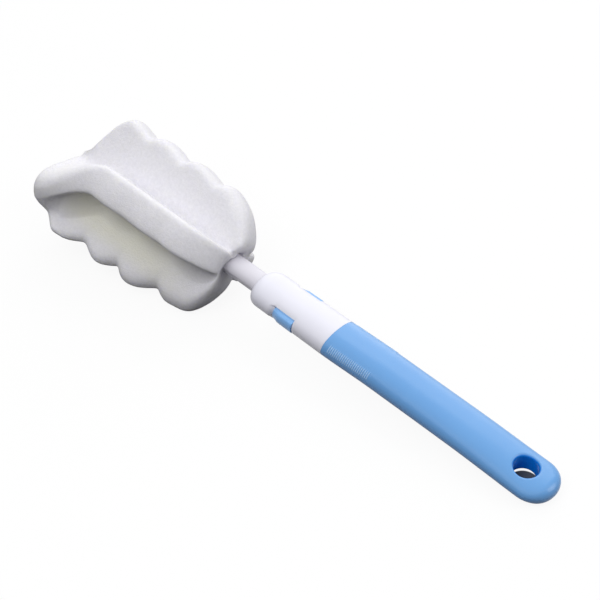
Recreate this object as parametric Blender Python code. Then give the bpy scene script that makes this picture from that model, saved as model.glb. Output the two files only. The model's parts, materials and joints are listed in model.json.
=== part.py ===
"""Sponge cup brush: a four-lobed foam head on a white stem, which plugs onto a flat blue handle.

Every piece is modelled along the tool's own axis: X runs from the foam's tip to the handle's butt,
Y runs across the broad faces and Z is square to them. The tool then lies as it would on a table,
on two foam lobes and the underside of the butt. All lengths are in metres.
"""

import math

import bmesh
import bpy
import numpy as np
from mathutils import Matrix, Vector

# Lengths along the axis
FOAM_LENGTH = 0.1093
STEM_SHOWN = 0.0087
NECK_LENGTH = 0.0500
HANDLE_LENGTH = 0.1235

# Gaps between pieces
CLEARANCE = 0.0003
PLUG_CLEARANCE = 0.0004
CUT_OVERRUN = 0.0020

# Foam head
LOBE_RADIUS = 0.0307
LOBE_THICKNESS = 0.0150
LOBE_EDGE_RADIUS = 0.0035
LOBE_END_RADIUS = 0.0030
LOBE_END_RIM = 0.0009
SCALLOP_DEPTH = 0.0034
SCALLOP_PITCH = 0.0223
FIRST_VALLEY = 0.0318
VALLEYS = 3
TIP_ROUNDING = 0.0200
STEM_END_ROUNDING = 0.0280
LEAN_START = 0.0085
WING_TIP_ROUNDING = 0.0082
WING_GAIN = 0.0018
WING_LEAN = 0.0198
WING_LEAN_LENGTH = 0.0407
LOWER_FRONT_TIP_ROUNDING = 0.0125
LOWER_FRONT_GAIN = 0.0062
LOWER_FRONT_LEAN = 0.0093
REAR_WING_GAIN = 0.0031
REST_FLAT_DEPTH = 0.0005

# Stem
CORE_RADIUS = 0.0033
BARB_RADIUS = 0.0040
BARB_LENGTH = 0.0040
BARB_PITCH = 0.0160
BARBS = 5
CORE_TIP_COVER = 0.0100
SHANK_WIDTH = 0.0114
SHANK_HEIGHT = 0.0086
SHANK_POCKET_DEPTH = 0.0021
SHANK_POCKET_HEIGHT = 0.0030
SHANK_POCKET_DROP = 0.0006
SHANK_POCKET_STOP = 0.0010
STEM_FLANGE_LENGTH = 0.0027

# Neck sleeve
NECK_WIDTH = 0.0221
NECK_HEIGHT = 0.0130
NOSE_LENGTH = 0.0085
NOSE_WALL_LENGTH = 0.0095
NOSE_RIM = 0.0009
SLEEVE_BORE_WIDTH = 0.0205
SLEEVE_BORE_HEIGHT = 0.0102
WINDOW_START = 0.0173
WINDOW_HEIGHT = 0.0080

# Latch plug and its two spring arms
PLUG_FRONT_LENGTH = 0.0115
PLUG_TAIL_LENGTH = 0.0190
PLUG_TAIL_WIDTH = 0.0192
PLUG_TAIL_HEIGHT = 0.0089
PLUG_GROOVE_START = 0.0070
PLUG_GROOVE_LENGTH = 0.0032
PLUG_GROOVE_DEPTH = 0.0012
PLUG_CORE_WIDTH = 0.0092
PLUG_CORE_LENGTH = 0.0070
ARM_ROOT_Y = 0.0074
ARM_ROOT_RADIUS = 0.0012
ARM_SHANK_LENGTH = 0.0071
ARM_HEIGHT = 0.0052
PAD_HEIGHT = 0.0064
PAD_THICKNESS = 0.0030
PAD_FRONT_GAP = 0.0023
PAD_CHAMFER = 0.0006
PAD_STEP = 0.0004

# Handle shells
SEAM_WIDTH = 0.0232
MIDDLE_WIDTH = 0.0232
BUTT_WIDTH = 0.0246
SEAM_TOP = 0.0065
MIDDLE_TOP = 0.0063
BUTT_TOP = 0.0050
SEAM_UNDERSIDE = 0.0062
MIDDLE_UNDERSIDE = 0.0059
BUTT_UNDERSIDE = 0.0050
BUTT_ROUNDING = 0.0120
BUTT_EDGE_ROUNDING = 0.0050
SHELL_WALL = 0.0020
SHELL_PARTING = 0.0008
UNDERSIDE_FLAT_DEPTH = 0.0004
HOLE_RADIUS = 0.0062
HOLE_FROM_BUTT = 0.0155
HOLE_RIM_RADIUS = 0.0014
HOLE_WALL = 0.0030
PIN_RADIUS = 0.0015
PIN_BOSS_RADIUS = 0.0032
PIN_GAP_BELOW = 0.0010
PIN_FROM_SEAM = 0.0380
PIN_SPACING = 0.0400
PINS = 2

# Shares of a section's or an outline's own size, which carry no length of their own
SECTION_POWER_SHARE = 2.2
BORE_POWER_SHARE = 2.3
TIP_STRAIGHT_SHARE = 0.55
WING_STRAIGHT_SHARE = 0.1
LOWER_FRONT_STRAIGHT_SHARE = 0.18
NOSE_SHARES = (0.0, 0.04, 0.12, 0.25, 0.42, 0.65, 1.0)
BUTT_SHARES = (0.0, 0.18, 0.36, 0.52, 0.66, 0.78, 0.88, 0.95, 0.99)
END_SHARES = (0.0, 0.05, 0.14, 0.28, 0.46, 0.70)
VALLEY_SHARES = (0.0, 0.16, 0.34, 0.5, 0.66, 0.84)
HANDLE_SHARES = (0.0, 0.09, 0.18, 0.3, 0.42, 0.55, 0.68, 0.8, 0.91, 1.0)
RIM_SHARES = (0.0, 0.35, 0.7, 1.0)
LEAN_SHARES = (0.0, 0.3, 0.6)
PAD_HEIGHT_SHARES = (-1.0, -0.75, -0.4, 0.0, 0.4, 0.75, 1.0)

# Counts of points
SHELL_POINTS = 40
BORE_POINTS = 32
ROUND_POINTS = 24
CORNER_POINTS = 4
HOLE_POINTS = 32

# Where things lie along the axis
FOAM_END = FOAM_LENGTH
NOSE_X = FOAM_END + STEM_SHOWN
SEAM_X = NOSE_X + NECK_LENGTH
BUTT_X = SEAM_X + HANDLE_LENGTH
CAVITY_X = NOSE_X + NOSE_WALL_LENGTH
WINDOW_X = NOSE_X + WINDOW_START
HOLE_X = BUTT_X - HOLE_FROM_BUTT
ARM_ROOT_X = SEAM_X - PLUG_FRONT_LENGTH
WINDOW_END_X = ARM_ROOT_X - ARM_SHANK_LENGTH
GROOVE_X = SEAM_X + PLUG_GROOVE_START

DIAGONAL = math.sqrt(0.5)
FRONT_UPPER = Vector((0, -DIAGONAL, DIAGONAL))
REAR_UPPER = Vector((0, DIAGONAL, DIAGONAL))
SHARP_ANGLE = math.radians(32)


def clear_scene():
    """Removes whatever the file holds, so that only the brush is left."""
    for obj in list(bpy.data.objects):
        bpy.data.objects.remove(obj, do_unlink=True)


def make_material(name, colour, roughness):
    """A plain Principled finish of one colour."""
    material = bpy.data.materials.new(name)
    material.use_nodes = True
    shader = material.node_tree.nodes["Principled BSDF"]
    shader.inputs["Base Color"].default_value = (*colour, 1.0)
    shader.inputs["Roughness"].default_value = roughness
    shader.inputs["Metallic"].default_value = 0.0
    return material


def make_empty(name, parent=None):
    empty = bpy.data.objects.new(name, None)
    bpy.context.scene.collection.objects.link(empty)
    empty.parent = parent
    return empty


def make_object(name, bm, parent, material=None, origin=(0, 0, 0)):
    """Turns a bmesh into an object whose own origin lies at the given point of the tool's frame."""
    bmesh.ops.translate(bm, verts=bm.verts, vec=-Vector(origin))
    bmesh.ops.recalc_face_normals(bm, faces=bm.faces)
    mesh = bpy.data.meshes.new(name)
    bm.to_mesh(mesh)
    bm.free()
    obj = bpy.data.objects.new(name, mesh)
    bpy.context.scene.collection.objects.link(obj)
    obj.parent = parent
    obj.location = origin
    if material:
        mesh.materials.append(material)
        mesh.shade_smooth()
        mesh.set_sharp_from_angle(angle=SHARP_ANGLE)
    else:
        obj.hide_render = True
        obj.display_type = "WIRE"
    return obj


def combine(obj, other, operation):
    """Adds an exact Boolean of a helper solid to an object."""
    modifier = obj.modifiers.new(f"{operation.lower()} {other.name}", "BOOLEAN")
    modifier.operation = operation
    modifier.solver = "EXACT"
    modifier.object = other


def rounded_ring(half_width, top, underside, power, points):
    """A rounded section: (y, z) points of a superellipse whose upper and lower halves may differ."""
    ring = []
    for i in range(points):
        angle = 2 * math.pi * (i + 0.5) / points
        cos, sin = math.cos(angle), math.sin(angle)
        y = half_width * math.copysign(abs(cos) ** (2 / power), cos)
        z = (top if sin > 0 else underside) * math.copysign(abs(sin) ** (2 / power), sin)
        ring.append((y, z))
    return ring


def loft(rings):
    """A closed solid through rings of (x, [(y, z), ...]), all with the same number of points."""
    bm = bmesh.new()
    loops = [[bm.verts.new((x, y, z)) for y, z in ring] for x, ring in rings]
    for low, high in zip(loops, loops[1:]):
        for i in range(len(low)):
            bm.faces.new((low[i - 1], low[i], high[i], high[i - 1]))
    bm.faces.new(loops[0])
    bm.faces.new(reversed(loops[-1]))
    return bm


def box(low, high):
    bm = bmesh.new()
    low, high = Vector(low), Vector(high)
    size = Matrix.Diagonal((*(high - low), 1.0))
    bmesh.ops.create_cube(bm, size=1.0, matrix=Matrix.Translation((low + high) / 2) @ size)
    return bm


def post(x, y, radius, low, high, points):
    """An upright cylinder between two heights."""
    bm = bmesh.new()
    bmesh.ops.create_cone(
        bm,
        cap_ends=True,
        segments=points,
        radius1=radius,
        radius2=radius,
        depth=high - low,
        matrix=Matrix.Translation((x, y, (low + high) / 2)),
    )
    return bm


def round_over(share):
    """How far a quarter-round edge has reached, from 0 to 1, at a share of its length."""
    share = min(max(share, 0.0), 1.0)
    return math.sqrt(1 - (1 - share) ** 2)


def between(start, middle, end, share):
    """A smooth value through three named sizes, at a share of the way along."""
    slope = 4 * middle - 3 * start - end
    bend = 2 * start + 2 * end - 4 * middle
    return start + slope * share + bend * share**2


# Foam head


def lobe_reach(x, tip_rounding, straight_share, gain):
    """How far a lobe's outer edge stands from the axis: rounded at both ends and scalloped."""
    radius = LOBE_RADIUS + gain * (1 - (x / FOAM_END) ** 2)
    share = min(x / tip_rounding, 1.0)
    tip = straight_share * share + (1 - straight_share) * round_over(share)
    stem_end = round_over((FOAM_END - x) / STEM_END_ROUNDING)
    outline = max(radius * min(tip, stem_end), LOBE_THICKNESS / 2 + LOBE_END_RIM)
    first = FIRST_VALLEY - SCALLOP_PITCH / 2
    last = FIRST_VALLEY + (VALLEYS - 0.5) * SCALLOP_PITCH
    if x < first or x > last:
        return outline
    wave = abs(math.sin(math.pi * (x - FIRST_VALLEY) / SCALLOP_PITCH))
    return outline - SCALLOP_DEPTH * (1 - wave)


def lobe_half_thickness(x):
    """Half the lobe's thickness, drawn in round both ends."""
    end = round_over(min(x, FOAM_END - x) / LOBE_END_RADIUS)
    return LOBE_THICKNESS / 2 - LOBE_END_RADIUS * (1 - end)


def lean_at(x, lean, length):
    """How far a lobe's outer edge leans at a place along the foam: most at the tip, then none."""
    share = min(x / length, 1.0)
    return lean * (1 - share**2 * (3 - 2 * share))


def leaned(points, lean):
    """Bends a lobe's section sideways, more and more towards its outer edge."""
    bent = []
    for u, v in points:
        share = max(u - LEAN_START, 0.0) / (LOBE_RADIUS - LEAN_START)
        bent.append((u, v + lean * share**2))
    return bent


def foam_stations():
    """Places along the foam: close together at the rounded ends and at each valley."""
    stations = [TIP_ROUNDING * share for share in END_SHARES]
    stations += [WING_TIP_ROUNDING * share for share in END_SHARES]
    for k in range(-1, VALLEYS):
        start = FIRST_VALLEY + k * SCALLOP_PITCH
        stations += [start + SCALLOP_PITCH * share for share in VALLEY_SHARES]
    stations = [x for x in stations if x < FOAM_END - STEM_END_ROUNDING]
    stations += [FOAM_END - STEM_END_ROUNDING * share for share in END_SHARES]
    stations.append(FOAM_END - STEM_END_ROUNDING)
    return sorted(set(stations))


def corner(reach, half, radius, side_u, side_v):
    """A rounded corner of a lobe's section, from its outer edge round to its flat face."""
    radius = min(radius, half, reach)
    points = []
    for i in range(CORNER_POINTS):
        angle = math.pi / 2 * i / (CORNER_POINTS - 1)
        u = reach - radius + radius * math.cos(angle)
        v = half - radius + radius * math.sin(angle)
        points.append((side_u * u, side_v * v))
    return points


def lobe_section(reach, half, root):
    """One lobe's section from its lower flat face, round its outer edge, to its upper flat face."""
    radius = min(LOBE_EDGE_RADIUS, reach - root)
    flats = [root + (reach - radius - root) * share for share in LEAN_SHARES]
    points = [(u, -half) for u in flats]
    points += reversed(corner(reach, half, radius, 1, -1))
    points += corner(reach, half, radius, 1, 1)
    points += [(u, half) for u in reversed(flats)]
    return points


def across(points, outwards, sideways):
    """The points of a lobe's section as (y, z)."""
    places = [outwards * u + sideways * v for u, v in points]
    return [(place.y, place.z) for place in places]


def slab_ring(x):
    """Section of the long slab, which is the upper rear and the lower front lobe in one."""
    half, root = lobe_half_thickness(x), LOBE_THICKNESS / 2
    upper_reach = lobe_reach(x, TIP_ROUNDING, TIP_STRAIGHT_SHARE, 0)
    lower_shape = (LOWER_FRONT_TIP_ROUNDING, LOWER_FRONT_STRAIGHT_SHARE, LOWER_FRONT_GAIN)
    upper = lobe_section(upper_reach, half, root)
    lower = lobe_section(lobe_reach(x, *lower_shape), half, root)
    lower = leaned(lower, -lean_at(x, LOWER_FRONT_LEAN, FOAM_LENGTH))
    return across(upper, REAR_UPPER, FRONT_UPPER) + across(lower, -REAR_UPPER, -FRONT_UPPER)


def wing_section(x, reach):
    """Section of a straight wing, which starts at the slab's flat face."""
    return lobe_section(reach, lobe_half_thickness(x), LOBE_THICKNESS / 2 + CLEARANCE)


def front_wing_ring(x):
    """The upper front lobe, which leans down towards the lower front one near the tip."""
    points = wing_section(x, lobe_reach(x, WING_TIP_ROUNDING, WING_STRAIGHT_SHARE, WING_GAIN))
    points = leaned(points, lean_at(x, WING_LEAN, WING_LEAN_LENGTH))
    return across(points, FRONT_UPPER, -REAR_UPPER)


def rear_wing_ring(x):
    """The lower rear lobe, which is straight and reaches the table beside the lower front one."""
    points = wing_section(x, lobe_reach(x, TIP_ROUNDING, TIP_STRAIGHT_SHARE, REAR_WING_GAIN))
    return across(points, -FRONT_UPPER, REAR_UPPER)


def make_foam(parent, material, floor):
    """The slab with its bore for the stem's core, and a wing bonded to each of its faces."""
    stations = foam_stations()
    rings = [(x, slab_ring(x)) for x in stations]
    slab = make_object("foam_slab", loft(rings), parent, material)
    bore_radius = BARB_RADIUS + CLEARANCE
    bore_ring = rounded_ring(bore_radius, bore_radius, bore_radius, 2, ROUND_POINTS)
    bore_start = CORE_TIP_COVER - CLEARANCE
    bore = [(bore_start, bore_ring), (FOAM_END + CUT_OVERRUN, bore_ring)]
    combine(slab, make_object("core_bore", loft(bore), parent), "DIFFERENCE")
    combine(slab, floor, "DIFFERENCE")
    rings = [(x, front_wing_ring(x)) for x in stations]
    make_object("foam_wing_front", loft(rings), parent, material)
    rings = [(x, rear_wing_ring(x)) for x in stations]
    combine(make_object("foam_wing_rear", loft(rings), parent, material), floor, "DIFFERENCE")


# Stem


def make_stem(parent, material):
    """Barbed core inside the foam, wide shank through the neck's nose, and a flange behind it."""
    core = rounded_ring(CORE_RADIUS, CORE_RADIUS, CORE_RADIUS, 2, ROUND_POINTS)
    barb = rounded_ring(BARB_RADIUS, BARB_RADIUS, BARB_RADIUS, 2, ROUND_POINTS)
    half_height = SHANK_HEIGHT / 2
    shank = rounded_ring(SHANK_WIDTH / 2, half_height, half_height, SECTION_POWER_SHARE, ROUND_POINTS)
    flange_height = SLEEVE_BORE_HEIGHT / 2 - CLEARANCE
    flange_width = SLEEVE_BORE_WIDTH / 2 - CLEARANCE
    flange = rounded_ring(flange_width, flange_height, flange_height, BORE_POWER_SHARE, ROUND_POINTS)
    rings = [(CORE_TIP_COVER, core)]
    for k in range(BARBS):
        start = CORE_TIP_COVER + BARB_LENGTH + k * BARB_PITCH
        rings += [(start, core), (start + BARB_LENGTH, barb), (start + BARB_LENGTH, core)]
    shoulder = FOAM_END + CLEARANCE
    rings += [(shoulder, core), (shoulder, shank)]
    flange_start = CAVITY_X + CLEARANCE
    rings += [(flange_start, shank), (flange_start, flange)]
    rings.append((flange_start + STEM_FLANGE_LENGTH, flange))
    stem = make_object("stem", loft(rings), parent, material)
    middle = -SHANK_POCKET_DROP
    for name, side in (("pocket_front", -1), ("pocket_rear", 1)):
        inner = side * (SHANK_WIDTH / 2 - SHANK_POCKET_DEPTH)
        outer = side * (SHANK_WIDTH / 2 + CUT_OVERRUN)
        low = (shoulder - CUT_OVERRUN, min(inner, outer), middle - SHANK_POCKET_HEIGHT / 2)
        high = (NOSE_X - SHANK_POCKET_STOP, max(inner, outer), middle + SHANK_POCKET_HEIGHT / 2)
        combine(stem, make_object(name, box(low, high), parent), "DIFFERENCE")


# Neck sleeve


def neck_ring(x):
    """Outer section of the neck: a rounded nose that widens slowly towards the seam."""
    nose = round_over((x - NOSE_X) / NOSE_LENGTH)
    share = (x - NOSE_X) / NECK_LENGTH
    full_width = (NECK_WIDTH + (SEAM_WIDTH - NECK_WIDTH) * share) / 2
    full_top = NECK_HEIGHT / 2 + (SEAM_TOP - NECK_HEIGHT / 2) * share
    full_underside = NECK_HEIGHT / 2 + (SEAM_UNDERSIDE - NECK_HEIGHT / 2) * share
    rim_width = SHANK_WIDTH / 2 + NOSE_RIM
    rim_height = SHANK_HEIGHT / 2 + NOSE_RIM
    width = rim_width + (full_width - rim_width) * nose
    top = rim_height + (full_top - rim_height) * nose
    underside = rim_height + (full_underside - rim_height) * nose
    return rounded_ring(width, top, underside, SECTION_POWER_SHARE, SHELL_POINTS)


def make_neck(parent, material):
    """White sleeve: open at the seam, bored for the shank, with a latch window in each side."""
    stations = [NOSE_X + NOSE_LENGTH * share for share in NOSE_SHARES]
    stations += [WINDOW_X, WINDOW_END_X, SEAM_X - CLEARANCE / 2]
    sleeve = make_object("neck_sleeve", loft([(x, neck_ring(x)) for x in stations]), parent, material)
    half_width, half_height = SLEEVE_BORE_WIDTH / 2, SLEEVE_BORE_HEIGHT / 2
    ring = rounded_ring(half_width, half_height, half_height, BORE_POWER_SHARE, BORE_POINTS)
    bore = [(CAVITY_X, ring), (SEAM_X + CUT_OVERRUN, ring)]
    combine(sleeve, make_object("sleeve_bore", loft(bore), parent), "DIFFERENCE")
    half_width, half_height = SHANK_WIDTH / 2 + CLEARANCE, SHANK_HEIGHT / 2 + CLEARANCE
    ring = rounded_ring(half_width, half_height, half_height, SECTION_POWER_SHARE, ROUND_POINTS)
    hole = [(NOSE_X - CUT_OVERRUN, ring), (CAVITY_X + CUT_OVERRUN, ring)]
    combine(sleeve, make_object("shank_hole", loft(hole), parent), "DIFFERENCE")
    reach = NECK_WIDTH / 2 + CUT_OVERRUN
    low = (WINDOW_X, -reach, -WINDOW_HEIGHT / 2)
    high = (WINDOW_END_X, reach, WINDOW_HEIGHT / 2)
    combine(sleeve, make_object("latch_windows", box(low, high), parent), "DIFFERENCE")


# Latch plug and arms


def make_plug(parent, material):
    """Blue plug: its front fills the sleeve, its grooved tail is gripped between the handle shells."""
    front_width = SLEEVE_BORE_WIDTH / 2 - PLUG_CLEARANCE
    front_height = SLEEVE_BORE_HEIGHT / 2 - PLUG_CLEARANCE
    tail_width, tail_height = PLUG_TAIL_WIDTH / 2, PLUG_TAIL_HEIGHT / 2
    sizes = [(front_width, front_height), (tail_width, tail_height)]
    sizes.append((tail_width - PLUG_GROOVE_DEPTH, tail_height - PLUG_GROOVE_DEPTH))
    front, tail, groove = [
        rounded_ring(width, height, height, BORE_POWER_SHARE, BORE_POINTS) for width, height in sizes
    ]
    groove_end = GROOVE_X + PLUG_GROOVE_LENGTH
    rings = [(ARM_ROOT_X, front), (SEAM_X - CLEARANCE, front), (SEAM_X - CLEARANCE, tail)]
    rings += [(GROOVE_X, tail), (GROOVE_X, groove), (groove_end, groove), (groove_end, tail)]
    rings.append((SEAM_X + PLUG_TAIL_LENGTH, tail))
    plug = make_object("latch_plug", loft(rings), parent, material)
    half = ARM_HEIGHT / 2 + CLEARANCE
    radius = ARM_ROOT_RADIUS + CLEARANCE
    for name, side in (("root_socket_front", -1), ("root_socket_rear", 1)):
        socket = post(ARM_ROOT_X, side * ARM_ROOT_Y, radius, -half, half, ROUND_POINTS)
        combine(plug, make_object(name, socket, parent), "DIFFERENCE")
    low = (ARM_ROOT_X - CUT_OVERRUN, -PLUG_CORE_WIDTH / 2, -front_height - CUT_OVERRUN)
    high = (ARM_ROOT_X + PLUG_CORE_LENGTH, PLUG_CORE_WIDTH / 2, front_height + CUT_OVERRUN)
    combine(plug, make_object("plug_relief", box(low, high), parent), "DIFFERENCE")


def arm_ring(outer, inner, half_height, bow):
    """Section of a latch arm: its outer face follows the sleeve's bore where bow is 1, else is flat."""
    curve_width = SLEEVE_BORE_WIDTH / 2 - CLEARANCE
    curve_height = SLEEVE_BORE_HEIGHT / 2 - CLEARANCE
    points = []
    for share in PAD_HEIGHT_SHARES:
        z = half_height * share
        reached = (1 - (abs(z) / curve_height) ** BORE_POWER_SHARE) ** (1 / BORE_POWER_SHARE)
        points.append((outer - bow * curve_width * (1 - reached), z))
    points += [(inner, half_height), (inner, -half_height)]
    return points


def make_arm(name, side, parent, material):
    """One spring arm: a pad that fills the window from behind, a thinner shank and a rounded root."""
    pad_outer = SLEEVE_BORE_WIDTH / 2 - CLEARANCE
    pad_inner = pad_outer - PAD_THICKNESS
    half_pad, half_arm = PAD_HEIGHT / 2, ARM_HEIGHT / 2
    start = WINDOW_X + PAD_FRONT_GAP
    end = WINDOW_END_X - CLEARANCE
    arm_outer, arm_inner = ARM_ROOT_Y + ARM_ROOT_RADIUS, ARM_ROOT_Y - ARM_ROOT_RADIUS
    rings = [(start, arm_ring(pad_outer - PAD_CHAMFER, pad_inner, half_pad, 1))]
    rings.append((start + PAD_CHAMFER, arm_ring(pad_outer, pad_inner, half_pad, 1)))
    rings.append((end, arm_ring(pad_outer, arm_inner - PAD_STEP, half_pad, 1)))
    rings.append((end, arm_ring(arm_outer, arm_inner, half_arm, 0)))
    for i in range(CORNER_POINTS + 1):
        angle = math.pi / 2 * i / (CORNER_POINTS + 1)
        half = ARM_ROOT_RADIUS * math.cos(angle)
        x = ARM_ROOT_X + ARM_ROOT_RADIUS * math.sin(angle)
        rings.append((x, arm_ring(ARM_ROOT_Y + half, ARM_ROOT_Y - half, half_arm, 0)))
    rings = [(x, [(side * y, z) for y, z in ring]) for x, ring in rings]
    origin = (ARM_ROOT_X, side * ARM_ROOT_Y, 0)
    make_object(name, loft(rings), parent, material, origin)


# Handle shells


def handle_sizes(x):
    """Half width, top and underside of the handle at a place along it."""
    share = (x - SEAM_X) / HANDLE_LENGTH
    width = between(SEAM_WIDTH, MIDDLE_WIDTH, BUTT_WIDTH, share) / 2
    top = between(SEAM_TOP, MIDDLE_TOP, BUTT_TOP, share)
    underside = between(SEAM_UNDERSIDE, MIDDLE_UNDERSIDE, BUTT_UNDERSIDE, share)
    width *= round_over((BUTT_X - x) / BUTT_ROUNDING)
    edge = round_over((BUTT_X - x) / BUTT_EDGE_ROUNDING)
    return width, top * edge, underside * edge


def handle_outer():
    """The whole handle as one solid, before it is parted into its shells."""
    straight = HANDLE_LENGTH - BUTT_ROUNDING
    stations = [SEAM_X + CLEARANCE / 2]
    stations += [SEAM_X + straight * share for share in HANDLE_SHARES[1:]]
    stations += [BUTT_X - BUTT_ROUNDING * (1 - share) for share in BUTT_SHARES[1:]]
    rings = []
    for x in stations:
        rings.append((x, rounded_ring(*handle_sizes(x), SECTION_POWER_SHARE, SHELL_POINTS)))
    return loft(rings)


def handle_cavity():
    """The hollow inside the shells, pinched in where the shells grip the plug's groove."""

    def hollow(x):
        width, top, underside = handle_sizes(x)
        sizes = (width - SHELL_WALL, top - SHELL_WALL, underside - SHELL_WALL)
        return rounded_ring(*sizes, SECTION_POWER_SHARE, BORE_POINTS)

    half_width = PLUG_TAIL_WIDTH / 2 + CLEARANCE
    half_height = PLUG_TAIL_HEIGHT / 2 + CLEARANCE
    seat = rounded_ring(half_width, half_height, half_height, BORE_POWER_SHARE, BORE_POINTS)
    half_width -= PLUG_GROOVE_DEPTH
    half_height -= PLUG_GROOVE_DEPTH
    throat = rounded_ring(half_width, half_height, half_height, BORE_POWER_SHARE, BORE_POINTS)
    throat_start = GROOVE_X + CLEARANCE
    throat_end = GROOVE_X + PLUG_GROOVE_LENGTH - CLEARANCE
    tail_end = SEAM_X + PLUG_TAIL_LENGTH + CLEARANCE
    hollow_start = tail_end + SHELL_WALL
    cavity_end = HOLE_X - HOLE_RADIUS - HOLE_WALL
    rings = [(SEAM_X - CUT_OVERRUN, seat), (throat_start, seat), (throat_start, throat)]
    rings += [(throat_end, throat), (throat_end, seat), (tail_end, seat)]
    for share in HANDLE_SHARES:
        x = hollow_start + (cavity_end - hollow_start) * share
        rings.append((x, hollow(x)))
    return loft(rings)


def hanging_hole():
    """Cutter for the hanging hole, flared by a rounded rim at both faces."""
    _, top, underside = handle_sizes(HOLE_X)
    outline = []
    for share in RIM_SHARES:
        rise = HOLE_RIM_RADIUS * share
        outline.append((HOLE_RADIUS + HOLE_RIM_RADIUS * (1 - math.sqrt(1 - share**2)), rise))
    profile = [(radius, top - HOLE_RIM_RADIUS + rise) for radius, rise in outline]
    profile.append((profile[-1][0], top + CUT_OVERRUN))
    lower = [(radius, -underside + HOLE_RIM_RADIUS - rise) for radius, rise in outline]
    lower.append((lower[-1][0], -underside - CUT_OVERRUN))
    profile = list(reversed(lower)) + profile
    bm = bmesh.new()
    loops = []
    for radius, z in profile:
        ring = []
        for i in range(HOLE_POINTS):
            angle = 2 * math.pi * i / HOLE_POINTS
            ring.append(bm.verts.new((HOLE_X + radius * math.cos(angle), radius * math.sin(angle), z)))
        loops.append(ring)
    for low, high in zip(loops, loops[1:]):
        for i in range(HOLE_POINTS):
            bm.faces.new((low[i - 1], low[i], high[i], high[i - 1]))
    bm.faces.new(loops[0])
    bm.faces.new(reversed(loops[-1]))
    return bm


def parting_cutter(side):
    """A block that holds everything on one side of the shells' parting, 1 above it and -1 below."""
    reach = max(BUTT_WIDTH, MIDDLE_WIDTH, SEAM_WIDTH)
    near = SHELL_PARTING - side * CLEARANCE / 2
    far = SHELL_PARTING + side * reach
    low = (SEAM_X - reach, -reach, min(near, far))
    high = (BUTT_X + reach, reach, max(near, far))
    return box(low, high)


def pin_places():
    return [SEAM_X + PIN_FROM_SEAM + k * PIN_SPACING for k in range(PINS)]


def make_upper_shell(parent, material, cavity, hole):
    """Top half of the handle, with the pins that hold the two halves together."""
    shell = make_object("handle_upper_shell", handle_outer(), parent, material)
    combine(shell, cavity, "DIFFERENCE")
    combine(shell, make_object("below_parting", parting_cutter(-1), parent), "DIFFERENCE")
    combine(shell, hole, "DIFFERENCE")
    for k, x in enumerate(pin_places()):
        _, top, underside = handle_sizes(x)
        low = -underside + SHELL_WALL + PIN_GAP_BELOW
        pin = post(x, 0, PIN_RADIUS, low, top - SHELL_WALL / 2, ROUND_POINTS)
        combine(shell, make_object(f"pin_{k}", pin, parent), "UNION")


def make_lower_shell(parent, material, cavity, hole):
    """Bottom half of the handle, with the sockets for the pins and a flat along its underside."""
    shell = make_object("handle_lower_shell", handle_outer(), parent, material)
    combine(shell, cavity, "DIFFERENCE")
    combine(shell, make_object("above_parting", parting_cutter(1), parent), "DIFFERENCE")
    combine(shell, hole, "DIFFERENCE")
    for k, x in enumerate(pin_places()):
        _, _, underside = handle_sizes(x)
        low = -underside + SHELL_WALL / 2
        boss = post(x, 0, PIN_BOSS_RADIUS, low, SHELL_PARTING - CLEARANCE, ROUND_POINTS)
        combine(shell, make_object(f"boss_{k}", boss, parent), "UNION")
        low = -underside + SHELL_WALL
        bore = post(x, 0, PIN_RADIUS + CLEARANCE, low, SHELL_PARTING + CUT_OVERRUN, ROUND_POINTS)
        combine(shell, make_object(f"socket_{k}", bore, parent), "DIFFERENCE")
    flat = box(*underside_flat())
    combine(shell, make_object("underside_flat", flat, parent), "DIFFERENCE")


def underside_flat():
    """Block that planes a flat along the lowest part of the underside."""
    lowest = max(SEAM_UNDERSIDE, MIDDLE_UNDERSIDE, BUTT_UNDERSIDE)
    height = -lowest + UNDERSIDE_FLAT_DEPTH
    reach = BUTT_WIDTH / 2
    return (SEAM_X - CUT_OVERRUN, -reach, height - CUT_OVERRUN), (BUTT_X, reach, height)


# Resting pose


def rest_line():
    """Slope and height of the table's line in the tool's frame: under the lobes and the butt."""
    foam = []
    for x in foam_stations():
        lowest = min(z for _, z in slab_ring(x) + rear_wing_ring(x))
        foam.append((x, lowest + REST_FLAT_DEPTH))
    handle = []
    for share in BUTT_SHARES:
        x = BUTT_X - BUTT_ROUNDING * (1 - share)
        ring = rounded_ring(*handle_sizes(x), SECTION_POWER_SHARE, SHELL_POINTS)
        handle.append((x, min(z for _, z in ring)))
    foam, handle = np.array(foam), np.array(handle)
    rise = handle[None, :, 1] - foam[:, None, 1]
    run = handle[None, :, 0] - foam[:, None, 0]
    slopes = (rise / run).min(axis=1)
    touching = foam[slopes.argmax()]
    slope = float(slopes.max())
    return slope, float(touching[1] - slope * touching[0])


def make_floor_cutter(parent, slope, height):
    """Block whose top is the table, which planes the small rest flats on the lower lobes."""
    reach = LOBE_RADIUS + LOWER_FRONT_GAIN + LOBE_THICKNESS
    block = box((-reach, -reach, -reach), (FOAM_END + reach, reach, 0))
    bmesh.ops.rotate(block, verts=block.verts, cent=(0, 0, 0), matrix=tilt_matrix(-slope))
    bmesh.ops.translate(block, verts=block.verts, vec=(0, 0, height))
    return make_object("table_plane", block, parent)


def tilt_matrix(slope):
    return Matrix.Rotation(math.atan(slope), 3, "Y")


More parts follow.
